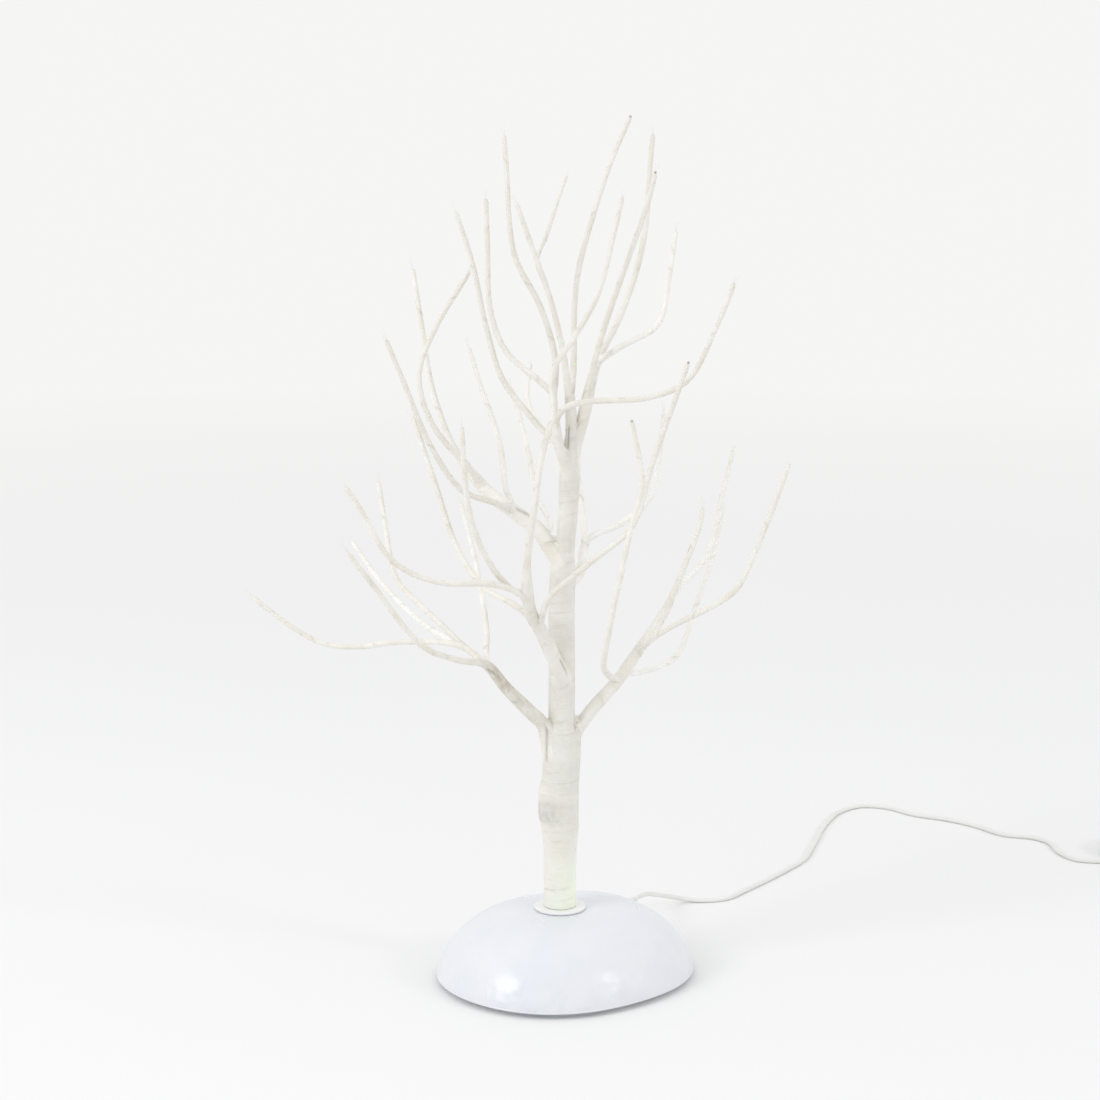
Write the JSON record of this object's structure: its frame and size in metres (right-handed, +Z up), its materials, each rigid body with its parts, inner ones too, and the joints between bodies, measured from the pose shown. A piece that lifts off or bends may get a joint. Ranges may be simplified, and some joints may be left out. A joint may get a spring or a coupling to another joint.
{
  "type": "fibre optic christmas tree",
  "caption": "Tabletop fibre optic tree: bare tape-wound twigs on a trunk that plugs into a snow-mound light base, with a lead and plug-in adapter.",
  "frame": {"origin": "on the table, at the middle of the collar and trunk, in the underside of the base plate", "axes": "+Z up along the trunk, -Y towards the front from which the object is seen, +X to the right"},
  "size_m": [0.7273, 0.4825, 0.5602],
  "materials": {
    "snow": "glossy pale blue-white moulded plastic with low lumps",
    "white": "white moulded plastic",
    "plate": "fine-textured grey-white plastic",
    "tape": "cream wrapping tape wound in overlapping turns, with bare clear fibres at the tips",
    "steel": "plated steel",
    "aluminium": "plain aluminium",
    "brass": "drawn brass",
    "circuit": "green lacquered board",
    "lens": "pale clear lens",
    "lead": "off-white flexible sleeve",
    "red": "clear red filter",
    "green": "clear green filter",
    "blue": "clear blue filter"
  },
  "bodies": {
    "base": {"base_shell": "snow", "base_plate": "plate", "stem_collar": "white", "plate_screw_1": "steel", "plate_screw_2": "steel", "plate_screw_3": "steel", "plate_screw_4": "steel", "heat_sink": "aluminium", "lamp": "lens", "wheel_motor": "steel", "motor_bracket": "plate", "circuit_board": "circuit", "cord_grommet": "white", "inner_lead": "lead", "cord_run": "lead", "cord_coil": "lead", "power_adapter": "white", "adapter_blade_1": "steel", "adapter_blade_2": "steel"},
    "colour_wheel": {"wheel_frame": "white", "wheel_shaft": "steel", "filter_red": "red", "filter_green": "green", "filter_blue": "blue"},
    "tree": {"fibre_ferrule": "brass", "trunk": "tape", "limb_low_left": "tape", "limb_low_right": "tape", "limb_front": "tape", "limb_mid_left": "tape", "limb_back": "tape", "leader_left": "tape", "leader_right": "tape", "twig_low_left_inner": "tape", "twig_low_left_outer": "tape", "twig_low_left_back": "tape", "twig_low_left_upright": "tape", "twig_low_right_inner": "tape", "twig_low_right_middle": "tape", "twig_low_right_outer": "tape", "twig_low_right_back": "tape", "twig_front_left_back": "tape", "twig_front_left_low": "tape", "twig_front_left_high": "tape", "twig_front_right": "tape", "twig_mid_left_front": "tape", "twig_mid_left_inner": "tape", "twig_mid_left_back": "tape", "twig_mid_left_rear": "tape", "twig_back_upright": "tape", "twig_top_left_inner": "tape", "twig_top_left_outer": "tape", "twig_top_right_outer": "tape", "twig_top_back": "tape", "twig_top_right_front": "tape", "twig_top_right_low": "tape", "twig_crown_left": "tape", "twig_crown_thin": "tape", "twig_crown_right": "tape"}
  },
  "joints": [
    {"name": "tree_lift", "type": "slide", "parent": "base", "child": "tree", "axis": [0, 0, 1], "range_m": [0, 0.03]},
    {"name": "wheel_spin", "type": "hinge", "parent": "base", "child": "colour_wheel", "pos_m": [-0.024, 0, 0.019], "axis": [0, 0, 1], "continuous": true}
  ]
}
